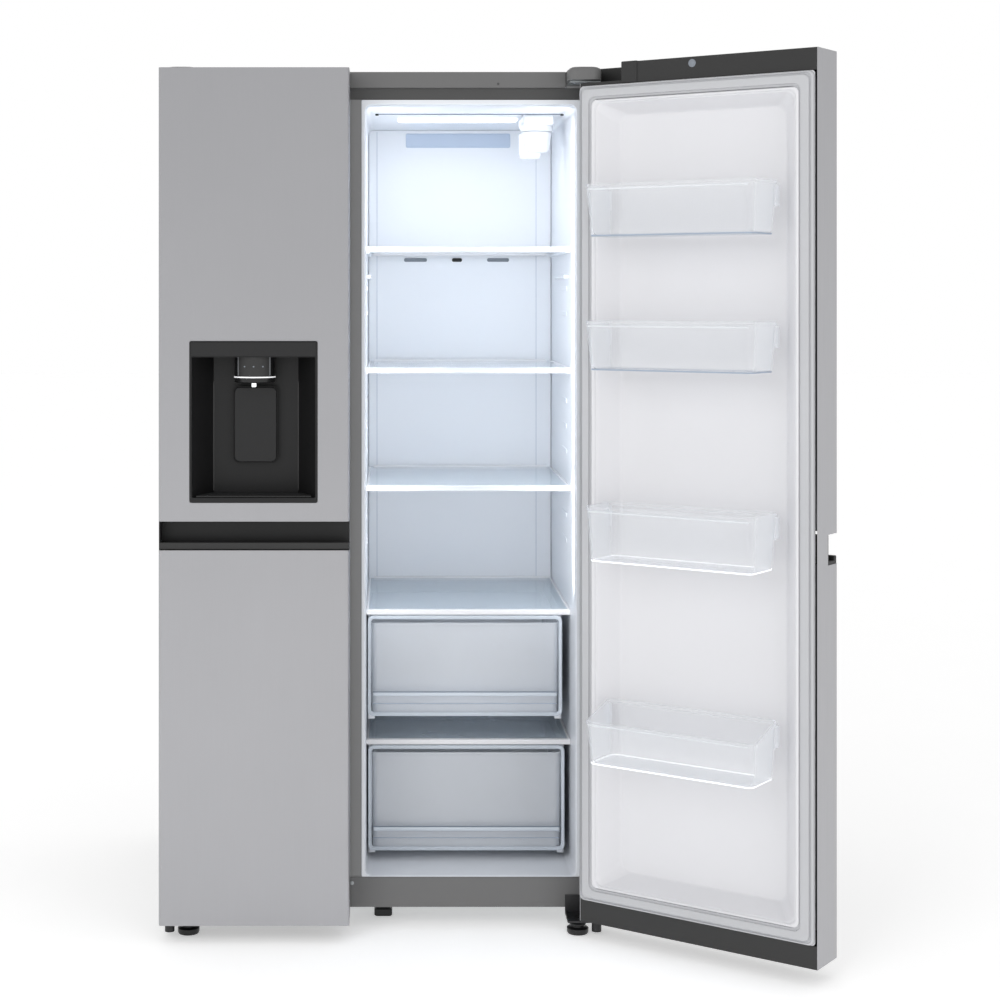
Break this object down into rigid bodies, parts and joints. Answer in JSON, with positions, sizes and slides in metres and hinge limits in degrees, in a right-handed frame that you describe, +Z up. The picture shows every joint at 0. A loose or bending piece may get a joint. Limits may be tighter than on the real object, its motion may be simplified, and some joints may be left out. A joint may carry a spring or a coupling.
{
  "type": "side by side refrigerator",
  "caption": "Tall two-door refrigerator, freezer left and fresh food right, with pocket handles, a dispenser, glass shelves, crispers and door bins.",
  "frame": {"origin": "middle of the centre foot's sole, on the floor, 85 mm behind the cabinet's front face and halfway across its width", "axes": "+X to the right seen from the front, +Y to the back of the cabinet, +Z up"},
  "size_m": [1.3342, 1.1607, 1.785],
  "materials": {
    "stainless_steel": "satin fine vertical brushing",
    "dark_paint": "smooth dark grey semi-matt paint",
    "back_steel": "plain coated sheet",
    "galvanised_steel": "dull galvanised",
    "insulation_foam": "rigid cellular foam",
    "white_liner": "smooth white, slightly glossy",
    "lamp_lens": "frosted white lens",
    "black_paint": "black semi-gloss paint",
    "coil_metal": "finned bare metal",
    "dark_plastic": "fine matt dark grey",
    "black_plastic": "smooth black",
    "gasket_vinyl": "soft matt grey vinyl",
    "shelf_glass": "clear tempered glass with white edge trim",
    "clear_plastic": "clear glossy moulded plastic"
  },
  "bodies": {
    "cabinet": {"cabinet_wrap": "dark_paint", "front_frame": "dark_paint", "back_panel": "back_steel", "base_pan": "galvanised_steel", "cabinet_foam": "insulation_foam", "freezer_liner": "white_liner", "fridge_liner": "white_liner", "base_cover": "dark_paint", "top_cover": "dark_paint", "compressor": "black_paint", "condenser": "coil_metal", "rear_cover": "back_steel", "evaporator": "coil_metal", "freezer_duct_cover": "white_liner", "fridge_duct_cover": "white_liner", "ceiling_light": "lamp_lens", "filter_head": "white_liner", "glass_shelf_top": "shelf_glass", "glass_shelf_middle": "shelf_glass", "glass_shelf_bottom": "shelf_glass", "crisper_cover_upper": "shelf_glass", "crisper_cover_lower": "shelf_glass", "freezer_shelf_upper": "shelf_glass", "freezer_shelf_lower": "shelf_glass", "freezer_drawer": "clear_plastic", "ice_maker": "white_liner", "top_hinge_left": "galvanised_steel", "top_hinge_right": "galvanised_steel", "bottom_hinge_left": "black_paint", "bottom_hinge_right": "black_paint", "centre_foot": "black_plastic"},
    "fridge_door": {"fridge_door_skin": "stainless_steel", "fridge_door_cap_top": "dark_plastic", "fridge_door_cap_bottom": "dark_plastic", "fridge_door_liner": "white_liner", "fridge_door_gasket": "gasket_vinyl", "fridge_door_grip": "black_plastic"},
    "freezer_door": {"freezer_door_skin": "stainless_steel", "freezer_door_cap_top": "dark_plastic", "freezer_door_cap_bottom": "dark_plastic", "freezer_door_liner": "white_liner", "freezer_door_gasket": "gasket_vinyl", "freezer_door_grip": "black_plastic", "dispenser_housing": "black_plastic", "dispenser_nozzle": "dark_plastic"},
    "crisper_upper_body": {"crisper_upper": "clear_plastic"},
    "crisper_lower_body": {"crisper_lower": "clear_plastic"},
    "water_filter_body": {"water_filter": "white_liner"},
    "condenser_fan_body": {"condenser_fan": "dark_plastic"},
    "dispenser_paddle_body": {"dispenser_paddle": "black_plastic"},
    "ice_bin_body": {"ice_bin": "clear_plastic"},
    "freezer_door_bin_body": {"freezer_door_bin": "clear_plastic"},
    "rear_roller_left_body": {"rear_roller_left": "black_plastic"},
    "rear_roller_right_body": {"rear_roller_right": "black_plastic"},
    "levelling_leg_left_body": {"levelling_leg_left": "black_plastic"},
    "levelling_leg_right_body": {"levelling_leg_right": "black_plastic"},
    "fridge_door_bin_1_body": {"fridge_door_bin_1": "clear_plastic"},
    "fridge_door_bin_2_body": {"fridge_door_bin_2": "clear_plastic"},
    "fridge_door_bin_3_body": {"fridge_door_bin_3": "clear_plastic"},
    "fridge_door_bin_4_body": {"fridge_door_bin_4": "clear_plastic"}
  },
  "joints": [
    {"name": "fridge_door_hinge", "type": "hinge", "parent": "cabinet", "child": "fridge_door", "pos_m": [0.4387, -0.1358, 0.9], "axis": [0, 0, 1], "range_deg": [-144.4, 0]},
    {"name": "freezer_door_hinge", "type": "hinge", "parent": "cabinet", "child": "freezer_door", "pos_m": [-0.4387, -0.1358, 0.9], "axis": [0, 0, -1], "range_deg": [0, 144.4]},
    {"name": "crisper_upper_slide", "type": "slide", "parent": "cabinet", "child": "crisper_upper_body", "axis": [0, -1, 0], "range_m": [0, 0.3]},
    {"name": "crisper_lower_slide", "type": "slide", "parent": "cabinet", "child": "crisper_lower_body", "axis": [0, -1, 0], "range_m": [0, 0.22]},
    {"name": "water_filter_twist", "type": "hinge", "parent": "cabinet", "child": "water_filter_body", "pos_m": [0.338, 0.165, 1.65], "axis": [0, 0, 1], "range_deg": [0, 90]},
    {"name": "dispenser_paddle_swing", "type": "hinge", "parent": "freezer_door", "child": "dispenser_paddle_body", "pos_m": [-0.26275, -0.1326, 1.122], "axis": [1, 0, 0], "range_deg": [0, 4], "stiffness_Nm_per_rad": 4},
    {"name": "condenser_fan_spin", "type": "hinge", "parent": "cabinet", "child": "condenser_fan_body", "pos_m": [-0.065, 0.535, 0.15], "axis": [1, 0, 0], "continuous": true},
    {"name": "rear_roller_left_spin", "type": "hinge", "parent": "cabinet", "child": "rear_roller_left_body", "pos_m": [-0.38, 0.605, 0.02], "axis": [1, 0, 0], "continuous": true},
    {"name": "rear_roller_right_spin", "type": "hinge", "parent": "cabinet", "child": "rear_roller_right_body", "pos_m": [0.38, 0.605, 0.02], "axis": [1, 0, 0], "continuous": true},
    {"name": "levelling_leg_left_turn", "type": "hinge", "parent": "cabinet", "child": "levelling_leg_left_body", "pos_m": [-0.401, -0.123, 0.01], "axis": [0, 0, 1], "continuous": true},
    {"name": "levelling_leg_right_turn", "type": "hinge", "parent": "cabinet", "child": "levelling_leg_right_body", "pos_m": [0.401, -0.123, 0.01], "axis": [0, 0, 1], "continuous": true},
    {"name": "fridge_door_bin_1_lift", "type": "slide", "parent": "fridge_door", "child": "fridge_door_bin_1_body", "axis": [0, 0, 1], "range_m": [0, 0.04]},
    {"name": "fridge_door_bin_2_lift", "type": "slide", "parent": "fridge_door", "child": "fridge_door_bin_2_body", "axis": [0, 0, 1], "range_m": [0, 0.04]},
    {"name": "fridge_door_bin_3_lift", "type": "slide", "parent": "fridge_door", "child": "fridge_door_bin_3_body", "axis": [0, 0, 1], "range_m": [0, 0.04]},
    {"name": "fridge_door_bin_4_lift", "type": "slide", "parent": "fridge_door", "child": "fridge_door_bin_4_body", "axis": [0, 0, 1], "range_m": [0, 0.04]},
    {"name": "freezer_door_bin_lift", "type": "slide", "parent": "freezer_door", "child": "freezer_door_bin_body", "axis": [0, 0, 1], "range_m": [0, 0.04]},
    {"name": "ice_bin_lift", "type": "slide", "parent": "freezer_door", "child": "ice_bin_body", "axis": [0, 0, 1], "range_m": [0, 0.02]}
  ]
}
